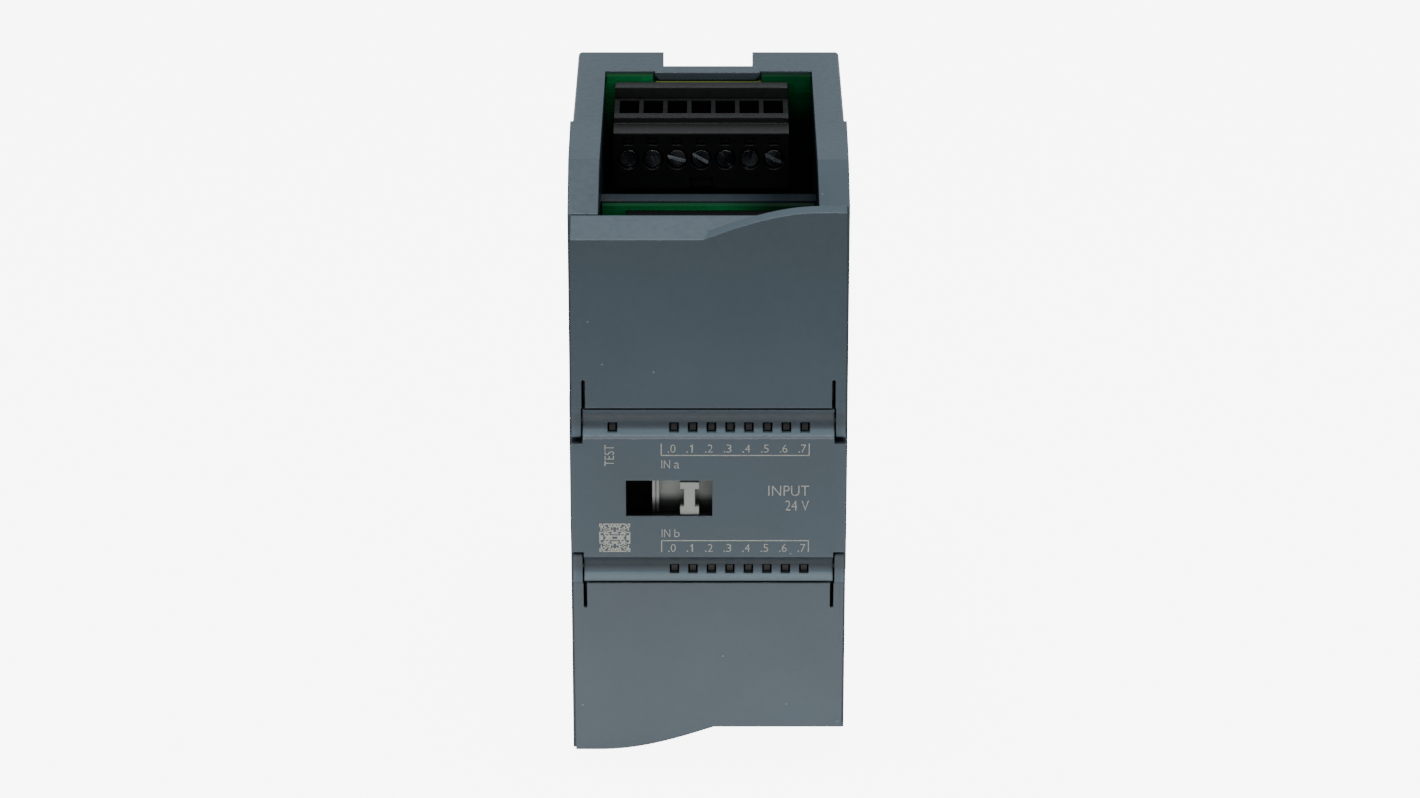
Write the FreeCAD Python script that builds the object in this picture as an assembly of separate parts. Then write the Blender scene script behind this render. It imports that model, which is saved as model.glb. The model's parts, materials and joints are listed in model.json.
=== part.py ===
import FreeCAD, Part
import math
import os

# DIN-rail digital input module, 45 x 75 x 100 mm.
# Origin: middle of the footprint, on the lowest face. +Z up, the front panel faces -Y.
# Depths below are counted backwards from the front panel; heights from the module's centre.

Vector = FreeCAD.Vector

# ---- driving dimensions (mm) ----
HEIGHT = 100.0
DEPTH = 75.0
WIDTH = 45.0
FRONT = -DEPTH / 2
CENTRE = HEIGHT / 2
TOP = HEIGHT / 2

WALL = 1.6
SEAM = 38.7                 # depth where the front housing meets the rear housing
SIDE = WIDTH / 2            # half width at the seam
SIDE_FRONT = 22.06          # half width at the front, after the draft
REAR_SIDE = 22.1            # half width of the rear housing
POCKET = 17.3               # half width of the wiring pockets
POCKET_WALL = 1.2
CREASE = 19.8               # depth where the flat top starts to slope to the doors

PANEL_HALF = 10.2           # half height of the flat centre panel
PANEL_SIDE = 21.83
SHOULDER = 9.35             # half height of the panel beside the hinge arms
COVE_END = 14.8
COVE_DEPTH = 0.9
COVE_MIDDLE = (1.63, 12.27)
SCOOP_ROOF = 1.1
CHEEK = 19.9                # half width of the console between the hinge arms

PIVOT = (2.55, 12.6)        # hinge axis, depth and height
PIN_R = 0.60
PIN_HOLE_R = 0.65
PIN_LENGTH = 1.1
ARM_SWING = 3.15            # room the hinge arms need behind the axis
PIN_TAIL = 0.7              # header pins stick out this far behind their board

DOOR_SIDE = 21.65
FLANGE = 1.5
LEAF = 1.7
FOOT_BEVEL = 1.1            # lets the leaf swing over the edge of the scoop
DOOR_LOW = 15.1
LEAN = 0.1085               # the doors lean back by this much per millimetre of height
LOW_EDGE = 42.28            # height of the low stretch of the door's outer edge
HIGH_EDGE = 46.6            # height of the high stretch
STEP_START = -0.85
STEP_LENGTH_X = 18.5        # the step rises over this width
EDGE_STEPS = 20
LIP_SLOPE = 0.30            # rise of the outer edge's bevel per millimetre of depth
SLIT = 19.75                # the slits beside the hinge arms, from the middle
SLIT_HALF = 0.28
SLIT_TOP = 19.4
LEFT_SEAM = (8.7, 44.62)
RIGHT_SEAM = (5.9, 46.95)
GAP = 0.25

SHELF_TOP = 29.0            # floor of the wiring pockets
SHELF = 1.4
LEDGE = (25.4, 28.7)
LEDGE_TOP = 41.0

BOARD = 1.6
FRONT_BOARD = 22.9
REAR_BOARD = 63.0
REAR_SLAB = 66.0
REAR_LIP = 64.67
BRIDGE_FRONT = 63.9         # front face of the strip in front of the notch
POST_X = 16.5               # screw posts of the rear board
POST_HEIGHT = 22.0

SNAP_HEIGHTS = (20.0, 40.0) # snap hooks that hold the two housings together
SNAP_WINDOW = (40.7, 43.9)  # depths of the windows that the hooks catch in
SNAP_HALF = 2.2
SNAP_INNER = 19.25

RAIL_HALF = 17.9
RAIL_DEPTH = 67.0
CHANNEL = (-7.6, 7.4)
CHANNEL_DEPTH = 67.4

POLES = 7
PITCH = 3.96
BLOCK_WIDTH = 28.7
BLOCK_LENGTH = 14.8
BLOCK_SHIFT = 1.2
REAR_BLOCK = (41.2, 37.4)   # front face depth and underside height
FRONT_BLOCK = (5.9, 29.4)
BLOCK_STEP = 9.6            # height of the front part of a terminal block
BLOCK_HEIGHT = 10.6
STEP_LENGTH = 5.1
SCREW_UP = 5.1              # screw axis above the block's underside
SCREW_HEAD_R = 1.6
SHANK_R = 0.9
TERMINAL_PIN = 1.0
PIN_UP = 1.8

LED_FIRST = -5.45
LED_PITCH = 2.96
LED_SIZE = 1.5
LED_GAP = 0.27              # dark gap around each guide tip
GUIDE_RECESS = 0.35         # the guides' tips end this far inside the scoop
STATUS_LED = -15.2
UPPER_LED = 11.65
LOWER_LED = -12.95

WINDOW = (-13.1, 0.6)
WINDOW_HALF = 3.1
SLIDER_DEPTH = 1.8
SLIDER_PLATE = 3.4          # the slider's plate lies this deep behind its finger tab
BUS = (8.0, 15.0)           # depths of the bus connector
BUS_HALF = 9.0
BUS_PINS = 10               # contacts in each of the two rows
BUS_PITCH = 1.4

CLIP_HOLE_R = 2.25


# ---- small helpers ----
def point(x, depth, height):
    return Vector(x, FRONT + depth, CENTRE + height)


def box(x, depth, height):
    size = [abs(b - a) for a, b in (x, depth, height)]
    return Part.makeBox(*size, point(min(x), min(depth), min(height)))


def prism_x(outline, x0, x1):
    """Solid with a (depth, height) outline between two x places."""
    corners = [point(x0, d, h) for d, h in outline]
    face = Part.Face(Part.makePolygon(corners + corners[:1]))
    return face.extrude(Vector(x1 - x0, 0, 0))


def prism_z(outline, low, high):
    """Solid with an (x, depth) outline between two heights."""
    corners = [point(x, d, low) for x, d in outline]
    face = Part.Face(Part.makePolygon(corners + corners[:1]))
    return face.extrude(Vector(0, 0, high - low))


def rod_x(radius, x0, x1, depth, height):
    return Part.makeCylinder(radius, abs(x1 - x0), point(min(x0, x1), depth, height), Vector(1, 0, 0))


def rod_y(radius, x, depth0, depth1, height):
    return Part.makeCylinder(radius, depth1 - depth0, point(x, depth0, height), Vector(0, 1, 0))


def arc_points(centre, radius, start, end, steps):
    """Points on an arc in the (depth, height) plane, angles in degrees."""
    angles = [math.radians(start + (end - start) * i / steps) for i in range(steps + 1)]
    return [(centre[0] + radius * math.cos(a), centre[1] + radius * math.sin(a)) for a in angles]


def turned(shape):
    """The same shape turned upside down about the module's front-to-back axis."""
    copy = shape.copy()
    copy.rotate(point(0, 0, 0), Vector(0, 1, 0), 180)
    return copy


def both_ends(shape):
    return shape.fuse(turned(shape))


def fuse(shapes):
    return shapes[0].multiFuse(shapes[1:]).removeSplitter()


def cut(shape, tools):
    return shape.cut(tools).removeSplitter()


def save(shape, node):
    shape.exportStep(os.path.join("parts", node + ".step"))


def rounded_rod(half_x, depth, half_z, radius):
    """Box along the depth with its four long edges rounded."""
    solid = box((-half_x, half_x), depth, (-half_z, half_z))
    long_edges = [e for e in solid.Edges if abs(e.tangentAt(e.FirstParameter).y) > 0.99]
    return solid.makeFillet(radius, long_edges)


# ---- rear housing ----
def pocket_shell(depth, height):
    """Side walls and floor of the upper wiring pocket in one depth range."""
    outer = POCKET + POCKET_WALL
    left = box((-outer, -POCKET), depth, (height - SHELF, TOP - 0.4))
    right = box((POCKET, outer), depth, (height - SHELF, TOP - 0.4))
    floor = box((-outer, outer), depth, (height - SHELF, height))
    return fuse([left, right, floor])


def clip_channel():
    low, high = CHANNEL
    wide = box((low, high), (CHANNEL_DEPTH, 73.9), (RAIL_HALF - 3, TOP + 1))
    mouth = box((low + 1.2, high - 1.2), (73.0, DEPTH + 1), (RAIL_HALF - 3, TOP + 1))
    notch = box((low, high), (CHANNEL_DEPTH, DEPTH + 1), (TOP - 4.5, TOP + 1))
    return fuse([wide, mouth, notch])


def lightening_pockets():
    """Open cells moulded into the back, as thick sections would sink."""
    cells = []
    for side in (-1, 1):
        for low, high in ((20.2, 33.6), (34.9, 48.2)):
            cells.append(box((side * 9.2, side * 20.4), (REAR_SLAB + 1.5, DEPTH + 1), (low, high)))
    return cells


def board_posts():
    return [rod_y(2.6, x, REAR_BOARD + BOARD, REAR_SLAB + 0.2, POST_HEIGHT) for x in (-POST_X, POST_X)]


def snap_windows():
    """Openings in the side walls of the rear housing, upper half."""
    windows = []
    for centre in SNAP_HEIGHTS:
        for side in (-1, 1):
            windows.append(box((side * 20, side * 23), SNAP_WINDOW, (centre - SNAP_HALF, centre + SNAP_HALF)))
    return windows


def snap_hooks():
    """Tongues of the front housing, each with a barb that stands in a window, upper half."""
    half = SNAP_HALF - 0.3
    tongue_end = SNAP_WINDOW[1] - 0.2
    barb_face = SNAP_WINDOW[0] + 0.1
    inside_wall = REAR_SIDE - WALL - 0.1
    hooks = []
    for centre in SNAP_HEIGHTS:
        for side in (-1, 1):
            span = (centre - half, centre + half)
            root = box((side * SNAP_INNER, side * (inside_wall + 0.4)), (SEAM - 3.0, SEAM - 0.1), span)
            tongue = box((side * SNAP_INNER, side * inside_wall), (SEAM - 3.0, tongue_end), span)
            barb = prism_z([
                (side * (inside_wall - 0.1), tongue_end), (side * (REAR_SIDE - 0.4), barb_face + 0.6),
                (side * (REAR_SIDE - 0.4), barb_face), (side * (inside_wall - 0.1), barb_face),
            ], *span)
            hooks.append(fuse([root, tongue, barb]))
    return hooks


def notch_bridge():
    """Strip that closes the pocket's edge in front of the notch, with chamfered lower corners."""
    low, high = TOP - 1.35, TOP
    outline = [(-9.0, high), (-9.0, low + 0.8), (-8.2, low), (7.8, low), (8.6, low + 0.8), (8.6, high)]
    corners = [point(x, BRIDGE_FRONT, z) for x, z in outline]
    face = Part.Face(Part.makePolygon(corners + corners[:1]))
    return face.extrude(Vector(0, REAR_LIP + 0.5 - BRIDGE_FRONT, 0))


def make_rear_housing():
    shell = rounded_rod(REAR_SIDE, (SEAM, DEPTH), TOP, 0.7)
    inside = box((-REAR_SIDE + WALL, REAR_SIDE - WALL), (SEAM - 1, REAR_SLAB), (-TOP + WALL, TOP - WALL))
    shell = cut(shell, [inside])
    mouth = box((-POCKET, POCKET), (SEAM - 1, REAR_LIP), (TOP - 3, TOP + 1))
    shell = cut(shell, [mouth, turned(mouth)])
    pocket = pocket_shell((SEAM, REAR_BOARD - 0.2), SHELF_TOP)
    tab = notch_bridge()
    posts = board_posts()
    body = fuse([shell, pocket, turned(pocket), tab, turned(tab)] + posts + [turned(p) for p in posts])
    rail = box((-REAR_SIDE - 1, REAR_SIDE + 1), (RAIL_DEPTH, DEPTH + 1), (-RAIL_HALF, RAIL_HALF))
    cells = lightening_pockets()
    pilots = [rod_y(0.95, x, REAR_BOARD, REAR_SLAB + 0.6, POST_HEIGHT) for x in (-POST_X, POST_X)]
    tools = [rail, clip_channel(), turned(clip_channel())]
    tools += cells + [turned(c) for c in cells]
    tools += pilots + [turned(p) for p in pilots]
    tools += snap_windows() + [turned(window) for window in snap_windows()]
    return cut(body, tools)


# ---- front housing ----
def side_wall_outline(seam):
    """Upper half of a side wall, seen from the side; seam is where the door takes over."""
    depth, height = seam
    arm_back = ARM_SWING + PIVOT[0] + 0.1
    return [
        (0, 0), (0, SHOULDER), (arm_back, SHOULDER), (arm_back, DOOR_LOW - 0.1),
        (depth + GAP, DOOR_LOW - 0.1), (depth + GAP, height + GAP / 2),
        (CREASE, TOP), (SEAM, TOP), (SEAM, 0),
    ]


def shoulder(seam, x0, x1):
    """Top of a side wall: a sloping cap above the hollow between its two skins."""
    depth, height = seam
    outline = [
        (depth + GAP, height + GAP / 2), (CREASE, TOP), (SEAM, TOP), (SEAM, TOP - WALL),
        (CREASE + 0.3, TOP - WALL), (depth + GAP, height + GAP / 2 - WALL),
    ]
    return prism_x(outline, x0, x1)


def pocket_side(seam, x0, x1):
    """Inner skin beside the wiring pocket."""
    depth, height = seam
    outline = [
        (depth + GAP, SHELF_TOP - SHELF), (depth + GAP, height + GAP / 2), (CREASE, TOP), (SEAM, TOP),
        (SEAM, SHELF_TOP - SHELF),
    ]
    return prism_x(outline, x0, x1)


def cove_edge():
    """Arc of the scoop between the panel and the door, in (depth, height)."""
    (ax, ay), (bx, by), (cx, cy) = (0.0, PANEL_HALF), COVE_MIDDLE, (COVE_DEPTH, COVE_END)
    d = 2 * (ax * (by - cy) + bx * (cy - ay) + cx * (ay - by))
    sa, sb, sc = ax * ax + ay * ay, bx * bx + by * by, cx * cx + cy * cy
    ux = (sa * (by - cy) + sb * (cy - ay) + sc * (ay - by)) / d
    uy = (sa * (cx - bx) + sb * (ax - cx) + sc * (bx - ax)) / d
    radius = math.hypot(ax - ux, ay - uy)
    start = math.degrees(math.atan2(ay - uy, ax - ux))
    end = math.degrees(math.atan2(cy - uy, cx - ux))
    return arc_points((ux, uy), radius, start, end, 12)


def console_upper():
    """Upper half of the centre console: panel back, scoop, face behind the door and shelf."""
    face_low, face_high = 4.9, 6.2
    outer = [(0, 0)] + cove_edge() + [
        (face_low, COVE_END), (face_high, SHELF_TOP), (FRONT_BOARD - 0.4, SHELF_TOP),
        (FRONT_BOARD - 0.4, 0),
    ]
    inner = [
        (WALL, -1), (WALL, PANEL_HALF - 1.0), (3.2, PANEL_HALF + 1.2), (3.2, COVE_END - SCOOP_ROOF),
        (face_low + 1.5, COVE_END - SCOOP_ROOF), (face_high + 1.5, SHELF_TOP - SHELF),
        (FRONT_BOARD, SHELF_TOP - SHELF), (FRONT_BOARD, -1),
    ]
    block = prism_x(outer, -CHEEK, CHEEK)
    hollow = prism_x(inner, -CHEEK + WALL, CHEEK - WALL)
    return block, hollow


def led_windows():
    holes = []
    places = [LED_FIRST + LED_PITCH * i for i in range(8)]
    half = LED_SIZE / 2
    for x in places + [STATUS_LED]:
        holes.append(box((x - half, x + half), (-1, 4.0), (UPPER_LED - half, UPPER_LED + half)))
    for x in places:
        holes.append(box((x - half, x + half), (-1, 4.0), (LOWER_LED - half, LOWER_LED + half)))
    return holes


def make_front_housing():
    left_x, right_x = (-23.0, -20.45), (20.45, 23.0)
    left = prism_x(side_wall_outline(LEFT_SEAM), *left_x)
    right = prism_x(side_wall_outline(RIGHT_SEAM), *right_x)
    inner = POCKET + POCKET_WALL
    upper = [
        left, right,
        shoulder(LEFT_SEAM, -23.0, -POCKET), shoulder(RIGHT_SEAM, POCKET, 23.0),
        pocket_side(LEFT_SEAM, -inner, -POCKET), pocket_side(RIGHT_SEAM, POCKET, inner),
        box((-inner, inner), (LEDGE[0], LEDGE[1]), (SHELF_TOP - SHELF, LEDGE_TOP)),
        box((-inner, inner), (LEDGE[0], SEAM), (SHELF_TOP - SHELF, SHELF_TOP)),
        box((-20.6, 20.6), (LEFT_SEAM[0] + GAP, FRONT_BOARD - 0.4), (SHELF_TOP - SHELF, SHELF_TOP)),
    ]
    block, hollow = console_upper()
    panel = box((-PANEL_SIDE, PANEL_SIDE), (0, WALL), (-SHOULDER, SHOULDER))
    webs = [box((s * 20.6, s * (CHEEK - 0.5)), (0.2, 7.5), (-SHOULDER, SHOULDER)) for s in (-1, 1)]
    solids = upper + [turned(s) for s in upper] + [block, turned(block), panel] + webs
    body = fuse(solids)
    draft = [
        (-SIDE_FRONT, -1), (-SIDE, SEAM), (-SIDE, SEAM + 1), (SIDE, SEAM + 1), (SIDE, SEAM), (SIDE_FRONT, -1),
    ]
    body = body.common(prism_z(draft, -TOP, TOP))
    arm_room = []
    arm_depth = (-2, ARM_SWING + PIVOT[0] + 0.1)
    for side in (-1, 1):
        arm_room.append(box((side * CHEEK, side * 24), arm_depth, (SHOULDER, DOOR_LOW - 0.1)))
    pin_holes = [rod_x(PIN_HOLE_R, s * (CHEEK + 0.5), s * (CHEEK - 1.45), *PIVOT) for s in (-1, 1)]
    corner = [box((s * PANEL_SIDE, s * 24), (-2, 5.0), (-SHOULDER, SHOULDER)) for s in (-1, 1)]
    tools = [hollow, turned(hollow)] + arm_room + [turned(a) for a in arm_room]
    tools += pin_holes + [turned(p) for p in pin_holes] + corner
    tools += led_windows()
    tools.append(box(WINDOW, (-1, WALL + 1), (-WINDOW_HALF, WINDOW_HALF)))
    reach = BUS_HALF + 0.35
    tools.append(box((-24, -15), (BUS[0] - 0.35, BUS[1] + 0.35), (-reach, reach)))
    tools.append(box((15, 24), (BUS[0] - 0.35, BUS[1] + 0.35), (-reach, reach)))
    hooks = snap_hooks()
    return fuse([cut(body, tools)] + hooks + [turned(hook) for hook in hooks])


# ---- doors ----
def door_outline():
    """Outer edge of the door with its soft step, as (x, height) points."""
    points = [(-DOOR_SIDE, DOOR_LOW), (-DOOR_SIDE, LOW_EDGE), (STEP_START, LOW_EDGE)]
    for i in range(1, EDGE_STEPS + 1):
        t = i / EDGE_STEPS
        rise = (HIGH_EDGE - LOW_EDGE) * math.sin(math.pi / 2 * t)
        points.append((STEP_START + STEP_LENGTH_X * t, LOW_EDGE + rise))
    points += [(DOOR_SIDE, HIGH_EDGE), (DOOR_SIDE, DOOR_LOW)]
    return points


def leaf_depth(height):
    return 0.886 + (height - COVE_END) * LEAN


def flange_outline(edge, seam):
    """Stiffening wall behind one side of the door's leaf."""
    foot = DOOR_LOW + 0.15
    return [(leaf_depth(DOOR_LOW) + 0.5, foot), (leaf_depth(edge) + 0.3, edge), seam, (seam[0], foot)]


def arm_outline():
    """Hinge arm that reaches down to the axis beside the scoop."""
    arm = arc_points((1.3, 10.45), 0.42, 180, 270, 4) + arc_points((3.3, 11.1), 1.05, 270, 360, 6)
    root = DOOR_LOW + 0.6
    return arm + [(4.6, 14.0), (5.9, root), (leaf_depth(DOOR_LOW) + 0.2, root), (COVE_DEPTH, 14.9)]


def make_upper_door():
    outline = [(x, h if h > DOOR_LOW else h - 2) for x, h in door_outline()]
    corners = [point(x, -4.0, h - LIP_SLOPE * (4.0 + leaf_depth(h))) for x, h in outline]
    face = Part.Face(Part.makePolygon(corners + corners[:1]))
    plate = face.extrude(Vector(0, 20.0, 20.0 * LIP_SLOPE))
    slab = [
        (leaf_depth(DOOR_LOW), DOOR_LOW), (leaf_depth(TOP), TOP), (leaf_depth(TOP) + LEAF, TOP),
        (leaf_depth(DOOR_LOW) + LEAF, DOOR_LOW + FOOT_BEVEL),
    ]
    leaf = plate.common(prism_x(slab, -DOOR_SIDE, DOOR_SIDE))
    lip_outline = [
        (leaf_depth(LOW_EDGE), LOW_EDGE), LEFT_SEAM, (LEFT_SEAM[0], LEFT_SEAM[1] - 1.4),
        (leaf_depth(LOW_EDGE) + 1.0, LOW_EDGE - 1.3),
    ]
    lip = prism_x(lip_outline, -DOOR_SIDE, POCKET - 0.4)
    left_flange = prism_x(flange_outline(LOW_EDGE, LEFT_SEAM), -DOOR_SIDE, -DOOR_SIDE + FLANGE)
    right_flange = prism_x(flange_outline(HIGH_EDGE, RIGHT_SEAM), DOOR_SIDE - FLANGE, DOOR_SIDE)
    pieces = [leaf, lip, left_flange, right_flange]
    for side in (-1, 1):
        inner_face = side * (DOOR_SIDE - FLANGE)
        pieces.append(prism_x(arm_outline(), inner_face, side * DOOR_SIDE))
        pieces.append(rod_x(PIN_R, inner_face + side * 0.3, inner_face - side * (PIN_LENGTH + 0.2), *PIVOT))
    slits = []
    for x in (-SLIT, SLIT):
        slits.append(box((x - SLIT_HALF, x + SLIT_HALF), (-1, 9.0), (DOOR_LOW - 1, SLIT_TOP)))
        slits.append(rod_y(SLIT_HALF, x, -1, 9.0, SLIT_TOP))
    return cut(fuse(pieces), slits)


# ---- DIN clips ----
def make_upper_clip():
    plate = box((-7.4, 7.2), (70.9, 73.7), (RAIL_HALF + 0.3, 45.2))
    rib = box((-6.2, 6.0), (70.9, 74.8), (RAIL_HALF + 0.3, 45.2))
    hook = prism_x([(68.4, 15.7), (69.6, 15.7), (72.4, 18.1), (72.4, 22.0), (68.4, 22.0)], -6.9, 6.7)
    spine = box((-4.0, 3.8), (68.0, 71.5), (19.0, 30.0))
    body = fuse([plate, rib, hook, spine])
    hole = rod_y(CLIP_HOLE_R, -0.1, 60, 80, 40.6)
    pull = box((-3.0, 2.8), (73.2, 76), (33.2, 34.6))
    relief = [box((x - 0.4, x + 0.4), (60, 80), (22.5, 32.0)) for x in (-5.2, 5.0)]
    return cut(body, [hole, pull] + relief)


# ---- circuit boards ----
def make_rear_board():
    plate = box((-19.9, 19.9), (REAR_BOARD, REAR_BOARD + BOARD), (-48.2, 48.2))
    top = box((-POCKET + 0.2, POCKET - 0.2), (REAR_BOARD, REAR_BOARD + BOARD), (-49.6, 49.6))
    board = fuse([plate, top])
    tab_room = box((-9.3, 8.9), (60, 66), (TOP - 1.6, TOP + 1))
    holes = [rod_y(1.35, x, 60, 66, POST_HEIGHT) for x in (-POST_X, POST_X)]
    pins = block_pin_holes(REAR_BLOCK, -BLOCK_SHIFT, 66)
    upper = [tab_room] + holes + pins
    return cut(board, upper + [turned(tool) for tool in upper])


def make_front_board():
    middle = box((-18.2, 18.2), (FRONT_BOARD, FRONT_BOARD + BOARD), (-SHELF_TOP + 2, SHELF_TOP - 2))
    tall = box((-POCKET + 0.3, POCKET - 0.3), (FRONT_BOARD, FRONT_BOARD + BOARD), (-LEDGE_TOP, LEDGE_TOP))
    board = fuse([middle, tall])
    pins = block_pin_holes(FRONT_BLOCK, BLOCK_SHIFT, FRONT_BOARD + 3)
    return cut(board, pins + [turned(p) for p in pins])


def make_bridge_board():
    """Board that joins the front and rear boards, edge on to both."""
    return box((-2.0, -2.0 + BOARD), (FRONT_BOARD + BOARD + 3.0, REAR_BOARD - 3.0), (-24.0, 24.0))


def make_bridge_headers():
    blocks = []
    for depth in ((FRONT_BOARD + BOARD, FRONT_BOARD + BOARD + 4.2), (REAR_BOARD - 4.2, REAR_BOARD)):
        shell = box((-4.4, 2.4), depth, (-20.0, 20.0))
        slot = box((-2.05, -2.0 + BOARD + 0.05), (depth[0] + 1.0, depth[1] - 1.0), (-25, 25))
        blocks.append(shell.cut(slot.fuse(bridge_opening(depth))))
    return Part.makeCompound(blocks)


def bridge_opening(depth):
    """Slot in a bridge header, open towards the bridge board."""
    front_header = depth[0] < 40
    span = (depth[0] + 1.0, depth[1] + 1) if front_header else (depth[0] - 1, depth[1] - 1.0)
    return box((-2.05, -2.0 + BOARD + 0.05), span, (-25, 25))


# ---- terminals ----
def pole_places(shift):
    return [shift + PITCH * (i - (POLES - 1) / 2) for i in range(POLES)]


def block_pin_holes(place, shift, end):
    """Square holes around the contact pins of one header."""
    half = TERMINAL_PIN / 2 + 0.15
    depth = (place[0] + 7, end)
    height = (place[1] + PIN_UP - half, place[1] + PIN_UP + half)
    return [box((x - half, x + half), depth, height) for x in pole_places(shift)]


def make_terminal_block(place, shift):
    depth, low = place
    x0, x1 = shift - BLOCK_WIDTH / 2, shift + BLOCK_WIDTH / 2
    back = depth + BLOCK_LENGTH
    base = box((x0, x1), (depth, back), (low, low + BLOCK_STEP))
    raised = box((x0, x1), (depth + STEP_LENGTH, back), (low + 1, low + BLOCK_HEIGHT))
    tools = [box((shift - 1.9, shift + 1.9), (depth - 1, depth + 1.2), (low - 1, low + 1.9))]
    screw = low + SCREW_UP
    for x in pole_places(shift):
        tools.append(box((x - 1.6, x + 1.6), (depth + 7.4, back - 0.8), (low + 6.9, low + 12)))
        tools.append(box((x - 1.5, x + 1.5), (depth + 7.4, back - 0.8), (low + 0.9, low + 7.2)))
        tools.append(rod_y(SCREW_HEAD_R + 0.12, x, depth - 1, depth + 2.9, screw))
        tools.append(rod_y(SHANK_R + 0.15, x, depth + 2, depth + 8, screw))
        tools.append(box((x - 0.8, x + 0.8), (depth - 1, depth + 1.6), (low + 7.6, low + 8.7)))
    tools += block_pin_holes(place, shift, back + 1)
    return cut(fuse([base, raised]), tools)


def make_terminal_screws(place, shift, angles):
    depth, low = place
    screws = []
    for x, angle in zip(pole_places(shift), angles):
        height = low + SCREW_UP
        head = rod_y(SCREW_HEAD_R, x, depth + 0.5, depth + 2.7, height)
        shank = rod_y(SHANK_R, x, depth + 2.5, depth + 9.9, height)
        slot = box((x - 2, x + 2), (depth, depth + 1.3), (height - 0.25, height + 0.25))
        slot.rotate(point(x, depth, height), Vector(0, 1, 0), angle)
        rim = [e for e in head.Edges if abs(e.CenterOfMass.y - (FRONT + depth + 0.5)) < 0.01]
        screws.append(head.makeChamfer(0.2, rim).fuse(shank).removeSplitter().cut(slot))
    return Part.makeCompound(screws)


def make_terminal_clamps(place, shift):
    depth, low = place
    cages = []
    back = depth + BLOCK_LENGTH
    for x in pole_places(shift):
        cage = box((x - 1.35, x + 1.35), (depth + 7.6, back - 1.0), (low + 1.1, low + 7.0))
        throat = box((x - 0.95, x + 0.95), (depth + 8.5, back - 1.9), (low + 3.0, low + 8))
        thread = rod_y(SHANK_R + 0.04, x, depth + 7, depth + 9, low + SCREW_UP)
        half = TERMINAL_PIN / 2 + 0.1
        height = low + PIN_UP
        socket = box((x - half, x + half), (depth + 8.6, back + 1), (height - half, height + half))
        cages.append(cage.cut([throat, thread, socket]))
    return Part.makeCompound(cages)


def make_header(place, shift, board_face, tall):
    depth, low = place
    x0, x1 = shift - BLOCK_WIDTH / 2, shift + BLOCK_WIDTH / 2
    start = depth + BLOCK_LENGTH + 0.15
    if tall:
        body = box((x0, x1), (start, board_face), (low + 0.2, low + 8.6))
        back = box((x0, x1), (board_face - 3.7, board_face - 0.9), (low + 0.2, low + 11.5))
        body = fuse([body, back])
    else:
        body = box((x0, x1), (start, board_face), (low + 0.2, low + BLOCK_HEIGHT + 0.3))
    half = TERMINAL_PIN / 2
    height = low + PIN_UP
    tools = [
        box((x - half, x + half), (start - 1, board_face + 1), (height - half, height + half))
        for x in pole_places(shift)
    ]
    return cut(body, tools)


def make_header_pins(place, shift, board_face):
    depth, low = place
    half = TERMINAL_PIN / 2
    height = low + PIN_UP
    end = board_face + BOARD + PIN_TAIL
    pins = []
    for x in pole_places(shift):
        pins.append(box((x - half, x + half), (depth + 8.8, end), (height - half, height + half)))
    return Part.makeCompound(pins)


# ---- light guides and indicator lamps ----
def make_light_guide(places, height, direction):
    """Bar with one prong per lamp, from the front board to the windows."""
    half = LED_SIZE / 2 - LED_GAP
    tips = []
    for x in places:
        tips.append(box((x - half, x + half), (1.0, FRONT_BOARD - 1.4), (height - half, height + half)))
    bar = box((min(places) - 1.5, max(places) + 1.5), (17.0, 19.2), (height - 1.6, height + 1.6))
    guide = fuse(tips + [bar])
    block = console_upper()[0]
    front = block if direction > 0 else turned(block)
    front.translate(Vector(0, GUIDE_RECESS, 0))
    return guide.common(front).removeSplitter()


def make_lamps(places, height):
    lamps = []
    foot = FRONT_BOARD - 0.5
    for x in places:
        base = box((x - 0.8, x + 0.8), (foot, FRONT_BOARD), (height - 0.65, height + 0.65))
        lens = box((x - 0.55, x + 0.55), (foot - 0.45, foot), (height - 0.5, height + 0.5))
        lamps.append(base.fuse(lens).removeSplitter())
    return Part.makeCompound(lamps)


# ---- bus connector ----
def make_bus_slider():
    plate = box((-8.95, 8.6), (SLIDER_PLATE, SLIDER_PLATE + 1.2), (-4.2, 4.2))
    rib = box((-8.95, -7.85), (SLIDER_DEPTH, SLIDER_PLATE + 0.3), (-4.2, 4.2))
    groove = box((-8.45, -8.3), (SLIDER_DEPTH - 1.0, SLIDER_DEPTH + 0.3), (-5.0, 5.0))
    stem = box((-3.88, -2.14), (0.45, SLIDER_PLATE + 0.5), (-2.7, 2.6))
    bars = [box((-4.51, -1.51), (0.45, SLIDER_PLATE + 0.5), s) for s in ((1.45, 2.6), (-3.0, -1.6))]
    arm = box((-7.5, -5.5), (SLIDER_PLATE + 1, BUS[0] + 3.0), (-2.5, 2.5))
    carrier = box((-13.9, -5.5), (BUS[0] + 1.5, BUS[0] + 4.5), (-6.0, 6.0))
    return cut(fuse([plate, stem, arm, carrier, rib] + bars), [groove])


def bus_pins(x0, x1, half):
    pins = []
    for depth in (BUS[0] + 2.4, BUS[1] - 2.4):
        for i in range(BUS_PINS):
            height = BUS_PITCH * (i - (BUS_PINS - 1) / 2)
            pins.append(box((x0, x1), (depth - half, depth + half), (height - half, height + half)))
    return pins


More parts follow.
